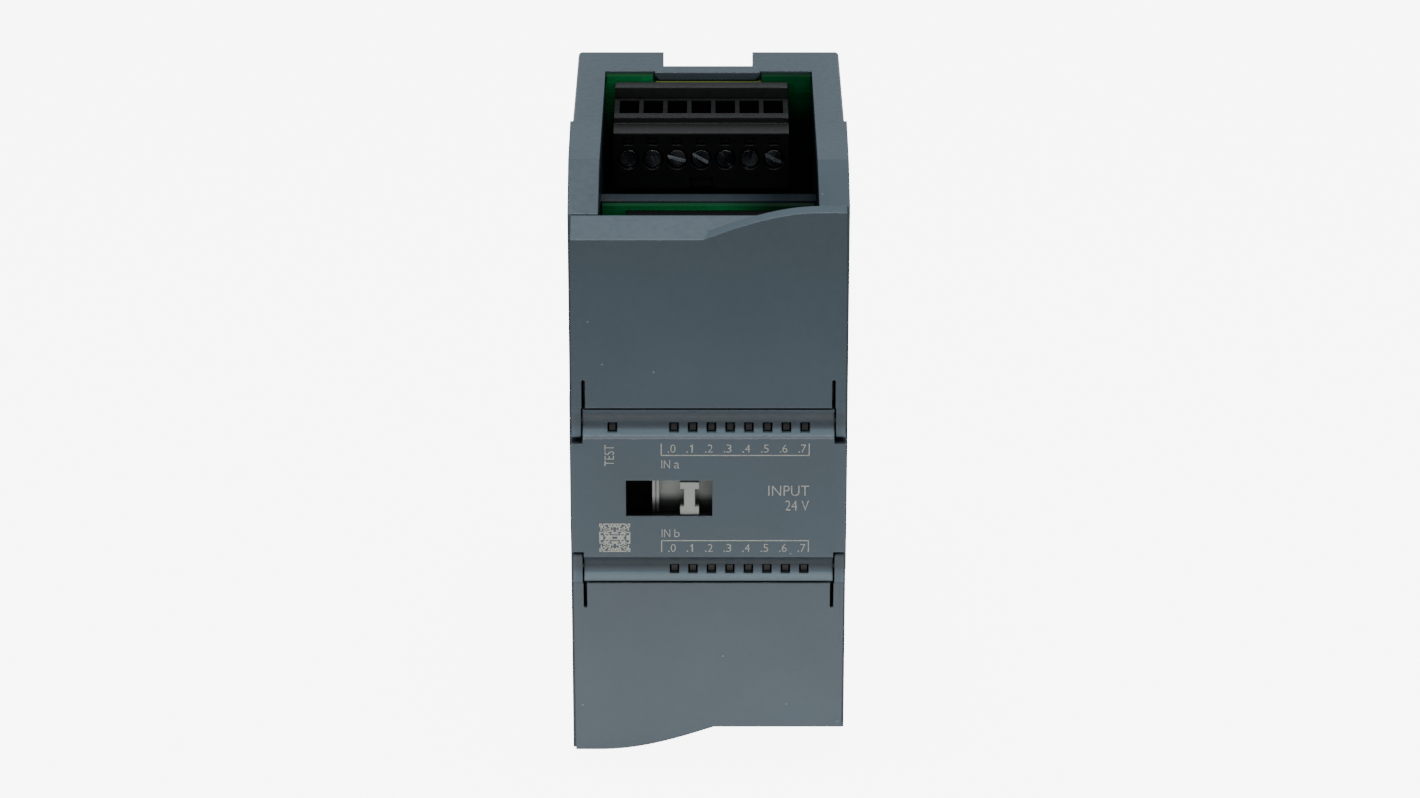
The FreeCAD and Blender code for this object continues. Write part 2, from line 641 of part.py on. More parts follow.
def make_bus_plug():
    body = box((-21.9, -13.9), BUS, (-BUS_HALF, BUS_HALF))
    recess = box((-23, -18.6), (BUS[0] + 1.0, BUS[1] - 1.0), (-BUS_HALF + 1.0, BUS_HALF - 1.0))
    tongue = box((-21.2, -18.0), (BUS[0] + 3.2, BUS[1] - 3.2), (-BUS_HALF + 2.0, BUS_HALF - 2.0))
    return cut(fuse([body.cut(recess), tongue]), bus_pins(-24, -12, 0.25))


def make_bus_socket():
    body = box((13.9, 21.9), BUS, (-BUS_HALF, BUS_HALF))
    slot = box((18.2, 23), (BUS[0] + 2.9, BUS[1] - 2.9), (-BUS_HALF + 1.7, BUS_HALF - 1.7))
    flange = box((13.9, 15.0), (BUS[0] - 0.2, BUS[1] + 0.2), (-BUS_HALF - 0.2, BUS_HALF + 0.2))
    return cut(fuse([body, flange]), [slot] + bus_pins(12, 24, 0.35))


# ---- components on the boards ----
def make_optocouplers():
    """Input isolators on the back of the front board, in two rows."""
    base = FRONT_BOARD + BOARD
    couplers = []
    for row in (17.0, -17.0):
        for x in (-13.5, -7.1, 5.2, 11.6):
            couplers.append(box((x - 2.2, x + 2.2), (base, base + 2.1), (row - 3.2, row + 3.2)))
    return Part.makeCompound(couplers)


def make_controller_chip():
    base = FRONT_BOARD + BOARD
    middle, half_body, reach = 9.5, 5.0, 6.0
    body = box((middle - half_body, middle + half_body), (base + 0.1, base + 1.5), (-half_body, half_body))
    legs = []
    for i in range(11):
        height = -4.0 + 0.8 * i
        for side in (-1, 1):
            span = (middle + side * (half_body - 0.1), middle + side * reach)
            legs.append(box(span, (base, base + 0.25), (height - 0.17, height + 0.17)))
    return fuse([body] + legs)


def make_capacitors():
    cans = []
    for x, height in ((-9.5, 11.0), (-9.5, -11.0), (9.5, 12.0)):
        can = rod_y(3.0, x, REAR_BOARD - 7.5, REAR_BOARD, height)
        rim = [e for e in can.Edges if abs(e.CenterOfMass.y - (FRONT + REAR_BOARD - 7.5)) < 0.01]
        cans.append(can.makeFillet(0.5, rim))
    return Part.makeCompound(cans)


def make_inductor():
    core = box((8.0, 15.0), (REAR_BOARD - 5.5, REAR_BOARD), (-13.5, -6.5))
    edges = [e for e in core.Edges if abs(e.tangentAt(e.FirstParameter).y) > 0.99]
    return core.makeFillet(1.2, edges)


def make_board_screws():
    screws = []
    z = POST_HEIGHT
    for x in (-POST_X, POST_X):
        head = rod_y(2.2, x, REAR_BOARD - 1.6, REAR_BOARD, z)
        shank = rod_y(0.9, x, REAR_BOARD - 0.3, REAR_SLAB + 0.4, z)
        slots = [
            box((x - 1.3, x + 1.3), (REAR_BOARD - 2, REAR_BOARD - 0.9), (z - 0.25, z + 0.25)),
            box((x - 0.25, x + 0.25), (REAR_BOARD - 2, REAR_BOARD - 0.9), (z - 1.3, z + 1.3)),
        ]
        screw = head.fuse(shank).removeSplitter().cut(slots)
        screws += [screw, turned(screw)]
    return Part.makeCompound(screws)


# ---- build everything ----
def main():
    os.makedirs("parts", exist_ok=True)
    save(make_rear_housing(), "rear_housing")
    save(make_front_housing(), "front_housing")
    door = make_upper_door()
    save(door, "upper_door")
    save(turned(door), "lower_door")
    clip = make_upper_clip()
    save(clip, "upper_din_clip")
    save(turned(clip), "lower_din_clip")
    save(make_rear_board(), "rear_board")
    save(make_front_board(), "front_board")
    save(make_bridge_board(), "bridge_board")
    save(make_bridge_headers(), "bridge_headers")
    angles = (80, 65, 15, 30, 60, 105, 28)
    for row, place, shift, face, tall in (
        ("rear", REAR_BLOCK, -BLOCK_SHIFT, REAR_BOARD, True),
        ("front", FRONT_BLOCK, BLOCK_SHIFT, FRONT_BOARD, False),
    ):
        pieces = {
            "terminal_block": make_terminal_block(place, shift),
            "terminal_screws": make_terminal_screws(place, shift, angles),
            "wire_clamps": make_terminal_clamps(place, shift),
            "pin_header": make_header(place, shift, face, tall),
            "header_pins": make_header_pins(place, shift, face),
        }
        for name, shape in pieces.items():
            save(shape, "upper_" + row + "_" + name)
            save(turned(shape), "lower_" + row + "_" + name)
    inputs = [LED_FIRST + LED_PITCH * i for i in range(8)]
    save(make_light_guide(inputs + [STATUS_LED], UPPER_LED, 1), "upper_light_guide")
    save(make_light_guide(inputs, LOWER_LED, -1), "lower_light_guide")
    save(make_lamps(inputs + [STATUS_LED], UPPER_LED), "upper_lamps")
    save(make_lamps(inputs, LOWER_LED), "lower_lamps")
    save(make_bus_slider(), "bus_slider")
    save(make_bus_plug(), "bus_plug")
    save(Part.makeCompound(bus_pins(-20.9, -14.4, 0.25)), "bus_plug_contacts")
    save(make_bus_socket(), "bus_socket")
    save(Part.makeCompound(bus_pins(14.4, 20.9, 0.25)), "bus_socket_contacts")
    save(make_optocouplers(), "optocouplers")
    save(make_controller_chip(), "controller_chip")
    save(make_capacitors(), "capacitors")
    save(make_inductor(), "inductor")
    save(make_board_screws(), "board_screws")


main()
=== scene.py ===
import bpy
import bmesh
import json
import math
import random
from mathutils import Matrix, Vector


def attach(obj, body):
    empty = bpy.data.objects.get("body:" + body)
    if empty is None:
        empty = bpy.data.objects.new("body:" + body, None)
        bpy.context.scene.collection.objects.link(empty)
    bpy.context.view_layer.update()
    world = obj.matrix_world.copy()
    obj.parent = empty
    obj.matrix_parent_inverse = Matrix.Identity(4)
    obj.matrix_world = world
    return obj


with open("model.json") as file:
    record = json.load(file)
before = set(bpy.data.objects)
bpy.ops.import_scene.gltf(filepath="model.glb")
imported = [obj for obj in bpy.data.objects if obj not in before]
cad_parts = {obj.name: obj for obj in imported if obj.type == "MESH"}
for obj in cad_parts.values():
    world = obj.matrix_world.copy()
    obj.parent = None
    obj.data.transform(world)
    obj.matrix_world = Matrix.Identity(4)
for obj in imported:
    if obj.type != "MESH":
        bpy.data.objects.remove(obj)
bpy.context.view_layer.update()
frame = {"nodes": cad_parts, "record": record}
random.seed(7)

# Scene lengths are metres. Places and sizes on the module are in mm from here on: to the right of its
# centre, behind the plane of its front panel, and above its centre.
MM = 0.001
PANEL = -37.5               # the front panel's plane, from the origin
CENTRE = 50.0               # height of the module's centre above its foot


# ---- shader helpers ----
def new_material(name):
    mat = bpy.data.materials.new(name)
    mat.use_nodes = True
    tree = mat.node_tree
    return mat, tree, tree.nodes["Principled BSDF"]


def add(tree, kind, **values):
    node = tree.nodes.new(kind)
    for key, value in values.items():
        setattr(node, key, value)
    return node


def feed(tree, value, socket):
    """Sets a number or a colour on a socket, or links another node's output to it."""
    if isinstance(value, tuple):
        socket.default_value = (*value, 1.0)
    elif isinstance(value, float):
        socket.default_value = value
    else:
        tree.links.new(value, socket)


def maths(tree, operation, *values):
    node = add(tree, "ShaderNodeMath", operation=operation)
    for value, socket in zip(values, node.inputs):
        feed(tree, value, socket)
    return node.outputs[0]


def noise(tree, coords, scale, detail=3.0):
    node = add(tree, "ShaderNodeTexNoise")
    node.inputs["Scale"].default_value = scale
    node.inputs["Detail"].default_value = detail
    tree.links.new(coords, node.inputs["Vector"])
    return node.outputs["Fac"]


def remap(tree, value, low, high, to_low, to_high):
    """Turns low..high into to_low..to_high, and holds the value beyond them."""
    node = add(tree, "ShaderNodeMapRange")
    node.inputs["From Min"].default_value = low
    node.inputs["From Max"].default_value = high
    node.inputs["To Min"].default_value = to_low
    node.inputs["To Max"].default_value = to_high
    tree.links.new(value, node.inputs["Value"])
    return node.outputs["Result"]


def mix_colour(tree, share, first, second):
    node = add(tree, "ShaderNodeMix", data_type="RGBA")
    feed(tree, share, node.inputs[0])
    feed(tree, first, node.inputs[6])
    feed(tree, second, node.inputs[7])
    return node.outputs[2]


def mix_value(tree, share, first, second):
    node = add(tree, "ShaderNodeMix", data_type="FLOAT")
    feed(tree, share, node.inputs[0])
    feed(tree, first, node.inputs[2])
    feed(tree, second, node.inputs[3])
    return node.outputs[0]


def scaled(colour, amount, lift=0.0):
    return tuple(min(1.0, c * amount + lift) for c in colour)


def darken(tree, colour, amount):
    """Multiplies a colour by a grey value."""
    node = add(tree, "ShaderNodeVectorMath", operation="SCALE")
    tree.links.new(colour, node.inputs[0])
    tree.links.new(amount, node.inputs["Scale"])
    return node.outputs["Vector"]


def bump(tree, height, strength, distance, below=None):
    node = add(tree, "ShaderNodeBump")
    node.inputs["Strength"].default_value = strength
    node.inputs["Distance"].default_value = distance
    tree.links.new(height, node.inputs["Height"])
    if below is not None:
        tree.links.new(below, node.inputs["Normal"])
    return node.outputs["Normal"]


def edge_mask(tree):
    """Bright on convex edges, from the mesh's own curvature."""
    geometry = add(tree, "ShaderNodeNewGeometry")
    return remap(tree, geometry.outputs["Pointiness"], 0.52, 0.60, 0.0, 1.0)


def soft_edges(tree, radius):
    """Normal that rounds every edge a little, as moulding and plating do."""
    node = add(tree, "ShaderNodeBevel", samples=6)
    node.inputs["Radius"].default_value = radius
    return node.outputs["Normal"]


def recess_shade(tree, darkest):
    """1 in the open, falling to darkest deep inside a recess."""
    node = add(tree, "ShaderNodeAmbientOcclusion", samples=6)
    node.inputs["Distance"].default_value = 16 * MM
    return remap(tree, node.outputs["AO"], 0.10, 0.55, darkest, 1.0)


def object_coords(tree):
    return add(tree, "ShaderNodeTexCoord").outputs["Object"]


def split(tree, vector):
    axes = add(tree, "ShaderNodeSeparateXYZ")
    tree.links.new(vector, axes.inputs[0])
    return axes.outputs["X"], axes.outputs["Y"], axes.outputs["Z"]


def place_in_mm(tree):
    """Place to the right of the centre, behind the front panel, and above the centre."""
    x, y, z = split(tree, object_coords(tree))
    side = maths(tree, "DIVIDE", x, MM)
    depth = maths(tree, "DIVIDE", maths(tree, "SUBTRACT", y, PANEL * MM), MM)
    height = maths(tree, "DIVIDE", maths(tree, "SUBTRACT", z, CENTRE * MM), MM)
    return side, depth, height


def tone_curve(tree, position, stops, top=1.0, straight=True):
    """Tone along one axis: stops are (place, tone), and top is the largest tone they may hold."""
    first, last = stops[0][0], stops[-1][0]
    node = add(tree, "ShaderNodeFloatCurve")
    tree.links.new(remap(tree, position, first, last, 0.0, 1.0), node.inputs["Value"])
    points = node.mapping.curves[0].points
    while len(points) < len(stops):
        points.new(0.5, 0.5)
    for spot, (place, tone) in zip(points, stops):
        spot.location = ((place - first) / (last - first), tone / top)
        spot.handle_type = "VECTOR" if straight else "AUTO"
    node.mapping.update()
    return maths(tree, "MULTIPLY", node.outputs[0], top)


# ---- plastics ----
GREY = (0.037, 0.056, 0.071)
CASE_ROUGHNESS = 0.36
CASE_SHINE = 0.45
GRAIN = 5200.0              # texture scales
CLOUDS = 60.0
WAVES = 1500.0
GLOSS = 900.0
SPECK_CELLS = 260.0

SCOOP_START = (0.1, 0.5)    # the scoops begin between these depths
SCOOP_FLOOR = (2.4, 2.0)    # and end between these
POCKET_SIDE = (17.36, 17.33)    # half width of the wiring pockets
POCKET_END = (49.8, 45.5)   # the painted shade in the pockets sets in between these heights
POCKET_DEPTH = (6.0, 9.0)   # and between these depths
LIP_DEPTH = (65.0, 64.7)    # behind these lies the case's back wall
POCKET_SHADE = (2.0, 13.0, 0.66, 0.97)  # how dark the painted pocket shade is, from left to right
# colour of the painted shade deep in the wiring pockets
POCKET_SHADE_COLOUR = (0.004, 0.007, 0.010)

# painted light and shade on the scoops, as a tone against the flat panel, by height
SCOOP_TOP_TONE = 4.2
SCOOP_STOPS = (
    (-16.0, 1.0), (-14.8, 1.1), (-14.45, 4.2), (-13.9, 3.5), (-13.2, 1.3), (-12.6, 0.6),
    (-11.9, 0.36), (-10.9, 0.38), (-10.4, 0.25), (10.2, 0.4), (10.5, 1.6), (11.0, 1.9),
    (11.8, 0.75), (12.4, 0.75), (13.7, 0.5), (14.2, 0.75), (14.6, 1.0), (16.0, 1.0),
)
# how much of its gloss the case keeps there
SCOOP_SHINE = (
    (-16.0, 1.0), (-13.2, 1.0), (-12.4, 0.5), (-10.9, 0.6), (-10.2, 1.0),
    (10.1, 1.0), (10.2, 0.25), (10.8, 0.3), (11.3, 1.0), (16.0, 1.0),
)
# painted light and shade on the doors, as a tone by height; their hinge arms reach down to 9.4 and carry on
# the scoops' painted light and shade
DOOR_TOP_TONE = 2.0
DOOR_RIM_TONE = 1.2
DOOR_STOPS = (
    (-50.0, 1.14), (-20.0, 0.97), (-15.2, 0.95), (-14.8, 1.7), (-13.4, 1.5), (-12.4, 0.8),
    (-10.4, 0.8), (10.0, 1.7), (11.2, 1.5), (12.4, 0.8), (14.0, 0.8), (14.8, 1.1),
    (15.2, 0.95), (20.0, 0.95), (34.0, 0.86), (42.0, 0.78), (50.0, 0.78),
)
# painted light and shade on the rear plugs, as a tone by depth: their front step, rim, wells and back, and
# the header behind them
TERMINAL_SHINE = 0.3
TERMINAL_STOPS = (
    (40.5, 0.40), (41.3, 0.40), (41.5, 0.9), (46.1, 0.9), (46.4, 0.55), (48.4, 0.55),
    (48.7, 0.22), (54.5, 0.22), (56.2, 0.10), (59.0, 0.10), (59.3, 1.0), (67.5, 1.0),
)


def plastic(name, colour, roughness=0.5, grain=0.2, specks=True, worn=0.25, shine=CASE_SHINE, painted_recess_dark=0.30):
    """Moulded plastic: fine spark-eroded grain, faint cloudiness, dust specks and paler edges, with painted
    shade that darkens it in recesses.
    """
    mat, tree, shader = new_material(name)
    coords = object_coords(tree)
    cloud = remap(tree, noise(tree, coords, CLOUDS, 4.0), 0.3, 0.7, 0.0, 1.0)
    base = mix_colour(tree, cloud, scaled(colour, 0.90), scaled(colour, 1.10))
    fine = noise(tree, coords, GRAIN, 2.0)
    base = mix_colour(tree, remap(tree, fine, 0.35, 0.65, 0.0, 0.35), base, scaled(colour, 0.86))
    edge = maths(tree, "MULTIPLY", edge_mask(tree), worn)
    base = mix_colour(tree, edge, base, scaled(colour, 1.5, 0.02))
    if specks:
        cells = add(tree, "ShaderNodeTexVoronoi", feature="F1")
        cells.inputs["Scale"].default_value = SPECK_CELLS
        tree.links.new(coords, cells.inputs["Vector"])
        spot = remap(tree, cells.outputs["Distance"], 0.050, 0.030, 0.0, 1.0)
        rare = remap(tree, noise(tree, coords, 420.0, 1.0), 0.46, 0.50, 0.0, 0.8)
        base = mix_colour(tree, maths(tree, "MULTIPLY", spot, rare), base, scaled(colour, 2.5, 0.05))
    # painted shade: the colour is darkened in recesses, as far as the given darkest value
    base = darken(tree, base, recess_shade(tree, painted_recess_dark))
    tree.links.new(base, shader.inputs["Base Color"])
    rough = remap(tree, noise(tree, coords, GLOSS), 0.3, 0.7, roughness - 0.06, roughness + 0.06)
    tree.links.new(rough, shader.inputs["Roughness"])
    waves = bump(tree, noise(tree, coords, WAVES, 2.0), 0.12, 0.04 * MM, soft_edges(tree, 0.28 * MM))
    tree.links.new(bump(tree, fine, grain, 0.03 * MM, waves), shader.inputs["Normal"])
    shader.inputs["Specular IOR Level"].default_value = shine
    return mat


def reopen(mat):
    """A finished plastic's tree, shader and base colour, so that it can be toned by place."""
    shader = mat.node_tree.nodes["Principled BSDF"]
    return mat.node_tree, shader, shader.inputs["Base Color"].links[0].from_socket


def scooped_housing(name):
    """Case plastic with painted light and shade: the scoops are painted from dark to light downwards, with a
    painted highlight where they are lightest, and the wiring pockets are painted dark with shade inside.
    """
    mat = plastic(name, GREY, CASE_ROUGHNESS)
    tree, shader, plain = reopen(mat)
    side, depth, height = place_in_mm(tree)

    tone = tone_curve(tree, height, SCOOP_STOPS, SCOOP_TOP_TONE, straight=False)
    begun = remap(tree, depth, *SCOOP_START, 0.0, 1.0)
    not_over = remap(tree, depth, *SCOOP_FLOOR, 0.0, 1.0)
    scoop = maths(tree, "MULTIPLY", begun, not_over)
    # painted highlight: where the painted light is strongest, the colour turns towards a neutral grey
    painted_highlight = remap(tree, tone, 1.6, SCOOP_TOP_TONE, 0.0, 0.45)
    lit = mix_colour(tree, painted_highlight, darken(tree, plain, tone), (0.21, 0.235, 0.235))
    toned = mix_colour(tree, scoop, plain, lit)

    # painted shade inside the wiring pockets, darker towards the right
    across = remap(tree, maths(tree, "ABSOLUTE", side), *POCKET_SIDE, 0.0, 1.0)
    below = remap(tree, maths(tree, "ABSOLUTE", height), *POCKET_END, 0.0, 1.0)
    behind = remap(tree, depth, *POCKET_DEPTH, 0.0, 1.0)
    before_lip = remap(tree, depth, *LIP_DEPTH, 0.0, 1.0)
    inside = maths(tree, "MULTIPLY", maths(tree, "MULTIPLY", across, below), behind)
    inside = maths(tree, "MULTIPLY", inside, before_lip)
    deep = maths(tree, "MULTIPLY", inside, remap(tree, side, *POCKET_SHADE))
    tree.links.new(mix_colour(tree, deep, toned, POCKET_SHADE_COLOUR), shader.inputs["Base Color"])

    dull = remap(tree, deep, 0.0, 0.9, CASE_SHINE, 0.02)
    matt = maths(tree, "MULTIPLY", dull, tone_curve(tree, height, SCOOP_SHINE))
    tree.links.new(mix_value(tree, scoop, dull, matt), shader.inputs["Specular IOR Level"])
    return mat


def door_plastic(name):
    """Door plastic with painted light and shade: darker towards the top of the case, lighter towards its
    foot, and painted light on its upper rim where it faces upwards.
    """
    mat = plastic(name, scaled(GREY, 0.97), CASE_ROUGHNESS)
    tree, shader, plain = reopen(mat)
    height = place_in_mm(tree)[2]
    tone = tone_curve(tree, height, DOOR_STOPS, DOOR_TOP_TONE)
    # painted light: faces that point upwards take the lighter rim tone
    facing = split(tree, add(tree, "ShaderNodeTexCoord").outputs["Normal"])
    upward = remap(tree, facing[2], 0.20, 0.28, 0.0, 1.0)
    tone = mix_value(tree, upward, tone, DOOR_RIM_TONE)
    tree.links.new(darken(tree, plain, tone), shader.inputs["Base Color"])
    return mat


def terminal_plastic(name, colour):
    """Black plastic of the rear plugs with painted light and shade by depth: only the upper side of their
    front step is painted as catching the light, and its gloss follows the painted tone.
    """
    mat = plastic(name, colour, 0.45, grain=0.4, specks=False, worn=0.15, shine=TERMINAL_SHINE)
    tree, shader, plain = reopen(mat)
    depth = place_in_mm(tree)[1]
    tone = tone_curve(tree, depth, TERMINAL_STOPS)
    tree.links.new(darken(tree, plain, tone), shader.inputs["Base Color"])
    shine = remap(tree, tone, 0.0, 1.0, 0.0, TERMINAL_SHINE)
    tree.links.new(shine, shader.inputs["Specular IOR Level"])
    return mat


def shaded_slider(name, colour):
    """Pale plastic that darkens where the case wall shades it: deep inside and under the window's edge."""
    mat = plastic(name, colour, 0.42, specks=False, worn=0.1, painted_recess_dark=0.85)
    tree, shader, plain = reopen(mat)
    side, depth, height = place_in_mm(tree)
    deep = remap(tree, depth, 4.0, 4.8, 0.0, 0.985)
    behind_tab = remap(tree, depth, 0.9, 1.7, 0.0, 1.0)
    low = remap(tree, height, -0.4, -1.8, 0.0, 0.97)
    right = remap(tree, side, -1.2, -0.4, 0.0, 0.15)
    shadow = maths(tree, "MULTIPLY", low, behind_tab)
    darkest = maths(tree, "MAXIMUM", maths(tree, "MAXIMUM", shadow, deep), right)
    tree.links.new(mix_colour(tree, darkest, plain, (0.002, 0.002, 0.002)), shader.inputs["Base Color"])
    return mat


def smoked(name, colour):
    """Light guides look nearly black while no lamp is lit behind them."""
    mat, tree, shader = new_material(name)
    coords = object_coords(tree)
    patches = remap(tree, noise(tree, coords, 700.0), 0.3, 0.7, 0.0, 1.0)
    tree.links.new(mix_colour(tree, patches, colour, scaled(colour, 0.7)), shader.inputs["Base Color"])
    shader.inputs["Roughness"].default_value = 0.4
    shader.inputs["Specular IOR Level"].default_value = 0.32
    tree.links.new(bump(tree, noise(tree, coords, 1200.0), 0.1, 0.01 * MM), shader.inputs["Normal"])
    return mat


# ---- metals, boards and ink ----
MASK_GREENS = ((0.001, 0.072, 0.020), (0.001, 0.058, 0.016))
BARE_LAMINATE = (0.075, 0.095, 0.025)
BARE_HALF = (8.8, 8.7)      # half width of the bare edge in front of the notch
BARE_HEIGHT = (45.0, 46.0)
BOARD_SKEW = -0.13          # the shade around the centre reaches further out on the right


def metal(name, colour, roughness, tarnish=(0.25, 0.24, 0.22)):
    """Plated metal: soft stains, uneven gloss and rounded edges."""
    mat, tree, shader = new_material(name)
    coords = object_coords(tree)
    stain = remap(tree, noise(tree, coords, 350.0), 0.45, 0.75, 0.0, 0.5)
    tree.links.new(mix_colour(tree, stain, colour, tarnish), shader.inputs["Base Color"])
    shader.inputs["Metallic"].default_value = 1.0
    rough = remap(tree, noise(tree, coords, 400.0), 0.3, 0.7, roughness - 0.08, roughness + 0.12)
    tree.links.new(rough, shader.inputs["Roughness"])
    skin = bump(tree, noise(tree, coords, 900.0, 1.0), 0.05, 0.02 * MM, soft_edges(tree, 0.1 * MM))
    tree.links.new(skin, shader.inputs["Normal"])
    return mat


def copper_tracks(tree, coords):
    """Long bricks in the board's plane, with the edges of the tracks as their mortar."""
    node = add(tree, "ShaderNodeTexBrick")
    node.inputs["Scale"].default_value = 260.0
    node.inputs["Mortar Size"].default_value = 0.018
    node.inputs["Brick Width"].default_value = 1.9
    node.inputs["Row Height"].default_value = 0.42
    feed(tree, MASK_GREENS[0], node.inputs["Color1"])
    feed(tree, MASK_GREENS[1], node.inputs["Color2"])
    feed(tree, (0.002, 0.085, 0.024), node.inputs["Mortar"])
    upright = add(tree, "ShaderNodeMapping")
    upright.inputs["Rotation"].default_value = (math.radians(90), 0, 0)
    tree.links.new(coords, upright.inputs["Vector"])
    tree.links.new(upright.outputs["Vector"], node.inputs["Vector"])
    return node


def circuit_board(name, fade, across, edge):
    """Green solder mask over copper tracks.

    fade and across are (from, to, tone, tone) of painted light and shade: away from the centre's height, and
    sideways. Recesses get painted shade as well.
    """
    mat, tree, shader = new_material(name)
    coords = object_coords(tree)
    tracks = copper_tracks(tree, coords)
    patches = remap(tree, noise(tree, coords, 240.0), 0.3, 0.7, 0.0, 0.5)
    mottled = mix_colour(tree, patches, tracks.outputs["Color"], (0.001, 0.040, 0.012))

    facing = split(tree, add(tree, "ShaderNodeNewGeometry").outputs["Normal"])
    rim = remap(tree, maths(tree, "ABSOLUTE", facing[1]), 0.5, 0.4, 0.0, 1.0)
    base = mix_colour(tree, rim, mottled, edge)
    side, _, height = place_in_mm(tree)
    near = remap(tree, maths(tree, "ABSOLUTE", side), *BARE_HALF, 0.0, 1.0)
    at_top = remap(tree, height, *BARE_HEIGHT, 0.0, 1.0)
    bare = maths(tree, "MULTIPLY", maths(tree, "MULTIPLY", near, rim), at_top)
    base = mix_colour(tree, bare, base, BARE_LAMINATE)

    skewed = maths(tree, "MULTIPLY_ADD", side, BOARD_SKEW, maths(tree, "ABSOLUTE", height))
    base = darken(tree, base, remap(tree, skewed, *fade))
    base = darken(tree, base, remap(tree, side, *across))
    base = darken(tree, base, recess_shade(tree, 0.45))
    tree.links.new(base, shader.inputs["Base Color"])
    shader.inputs["Roughness"].default_value = 0.45
    shader.inputs["Specular IOR Level"].default_value = 0.03
    tree.links.new(bump(tree, tracks.outputs["Fac"], 0.3, 0.03 * MM), shader.inputs["Normal"])
    return mat


def ink(name, colour):
    """Pad-printed ink with small pinholes."""
    mat, tree, shader = new_material(name)
    coords = object_coords(tree)
    thin = remap(tree, noise(tree, coords, 3800.0), 0.50, 0.75, 0.0, 0.75)
    tree.links.new(mix_colour(tree, thin, colour, (0.10, 0.11, 0.11)), shader.inputs["Base Color"])
    shader.inputs["Roughness"].default_value = 0.55
    tree.links.new(bump(tree, noise(tree, coords, GRAIN), 0.2, 0.02 * MM), shader.inputs["Normal"])
    return mat


# ---- materials on the nodes ----
# each board gets its own painted light and shade: lighter away from the centre's height, darker towards the
# right
REAR_BOARD = circuit_board(
    "solder_mask",
    fade=(39.5, 50.5, 0.25, 2.7), across=(0.0, 14.0, 1.0, 0.6), edge=(0.002, 0.018, 0.006),
)
FRONT_BOARD = circuit_board(
    "front_solder_mask",
    fade=(20.0, 40.0, 1.5, 2.6), across=(2.0, 10.0, 1.0, 0.22), edge=(0.001, 0.017, 0.006),
)
# near-black copy of the terminal plastic with painted shade, for the front plugs behind the doors
SHADED_TERMINAL = plastic(
    "shaded_terminal_plastic", (0.0025, 0.0025, 0.0027), specks=False, worn=0.1, shine=0.03,
)
PRINT = ink("panel_ink", (0.33, 0.325, 0.285))
materials = {
    "housing": scooped_housing("grey_case_plastic"),
    "door": door_plastic("grey_door_plastic"),
    "clip": plastic("clip_plastic", scaled(GREY, 0.9), 0.42, specks=False),
    "board": REAR_BOARD,
    "terminal": terminal_plastic("black_terminal_plastic", (0.0085, 0.0085, 0.0085)),
    "screw": metal("nickel_screw", (0.30, 0.325, 0.35), 0.24, tarnish=(0.05, 0.052, 0.056)),
    "clamp": metal("tinned_clamp", (0.60, 0.60, 0.57), 0.34),
    "pin": metal("tinned_pin", (0.70, 0.69, 0.66), 0.28),
    "light_guide": smoked("light_guide_plastic", (0.007, 0.006, 0.006)),
    "lamp": plastic("lamp_resin", (0.55, 0.56, 0.42), 0.30, specks=False),
    "slider": shaded_slider("pale_slider_plastic", (0.27, 0.285, 0.26)),
    "connector": plastic("black_connector_plastic", (0.018, 0.018, 0.019), 0.40, specks=False),
    "contact": metal("gold_contact", (0.80, 0.58, 0.20), 0.22, tarnish=(0.45, 0.30, 0.10)),
    "chip": plastic("chip_epoxy", (0.020, 0.020, 0.021), 0.60, specks=False),
    "can": metal("capacitor_can", (0.70, 0.71, 0.72), 0.30),
}

slot_of = {row["node"]: row["material_slot"] for row in frame["record"]["subparts"]}
for node, piece in frame["nodes"].items():
    finish = materials[slot_of[node]]
    # the front plugs take the copy with painted shade
    if slot_of[node] == "terminal" and "_front_" in node:
        finish = SHADED_TERMINAL
    if node == "front_board":
        finish = FRONT_BOARD
    piece.data.materials.clear()
    piece.data.materials.append(finish)


# ---- panel print ----
FILM = 0.012                # half the thickness of the ink
LINE = 0.16                 # stroke of the brackets
BRACKET_LEFT, BRACKET_RIGHT = -7.55, 16.0
INPUTS = 8
FIRST_INPUT = -5.62         # middle of the first number
INPUT_PITCH = 2.95
DIGIT_WIDTH, DIGIT_HEIGHT = 0.80, 1.36
CAPITAL_HEIGHT = 1.38       # of the group names
GROUP_LEFT, GROUP_LETTER_LEFT = -7.45, -5.45


def finish_print(shape, name):
    bmesh.ops.recalc_face_normals(shape, faces=shape.faces)
    mesh = bpy.data.meshes.new(name)
    shape.to_mesh(mesh)
    shape.free()
    piece = bpy.data.objects.new(name, mesh)
    bpy.context.scene.collection.objects.link(piece)
    mesh.materials.append(PRINT)
    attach(piece, "module")


def on_panel(x, z, out):
    return x * MM, (PANEL - out) * MM, (CENTRE + z) * MM


def print_tiles(name, tiles):
    """One printed piece from (left, right, low, high) rectangles."""
    shape = bmesh.new()
    for left, right, low, high in tiles:
        corners = [(left, low), (right, low), (right, high), (left, high)]
        front = [shape.verts.new(on_panel(x, z, FILM)) for x, z in corners]
        back = [shape.verts.new(on_panel(x, z, -FILM)) for x, z in corners]
        shape.faces.new(front)
        shape.faces.new(back[::-1])
        for i in range(4):
            j = (i + 1) % 4
            shape.faces.new((front[j], front[i], back[i], back[j]))
    finish_print(shape, name)


def letter_mesh(text):
    """Outline lettering as a mesh in its own plane."""
    curve = bpy.data.curves.new(text, "FONT")
    curve.body = text
    curve.extrude = 0.5
    curve.resolution_u = 3
    curve.offset = -0.012
    holder = bpy.data.objects.new(text, curve)
    bpy.context.scene.collection.objects.link(holder)
    bpy.context.view_layer.update()
    mesh = bpy.data.meshes.new_from_object(holder.evaluated_get(bpy.context.evaluated_depsgraph_get()))
    bpy.data.objects.remove(holder)
    return mesh


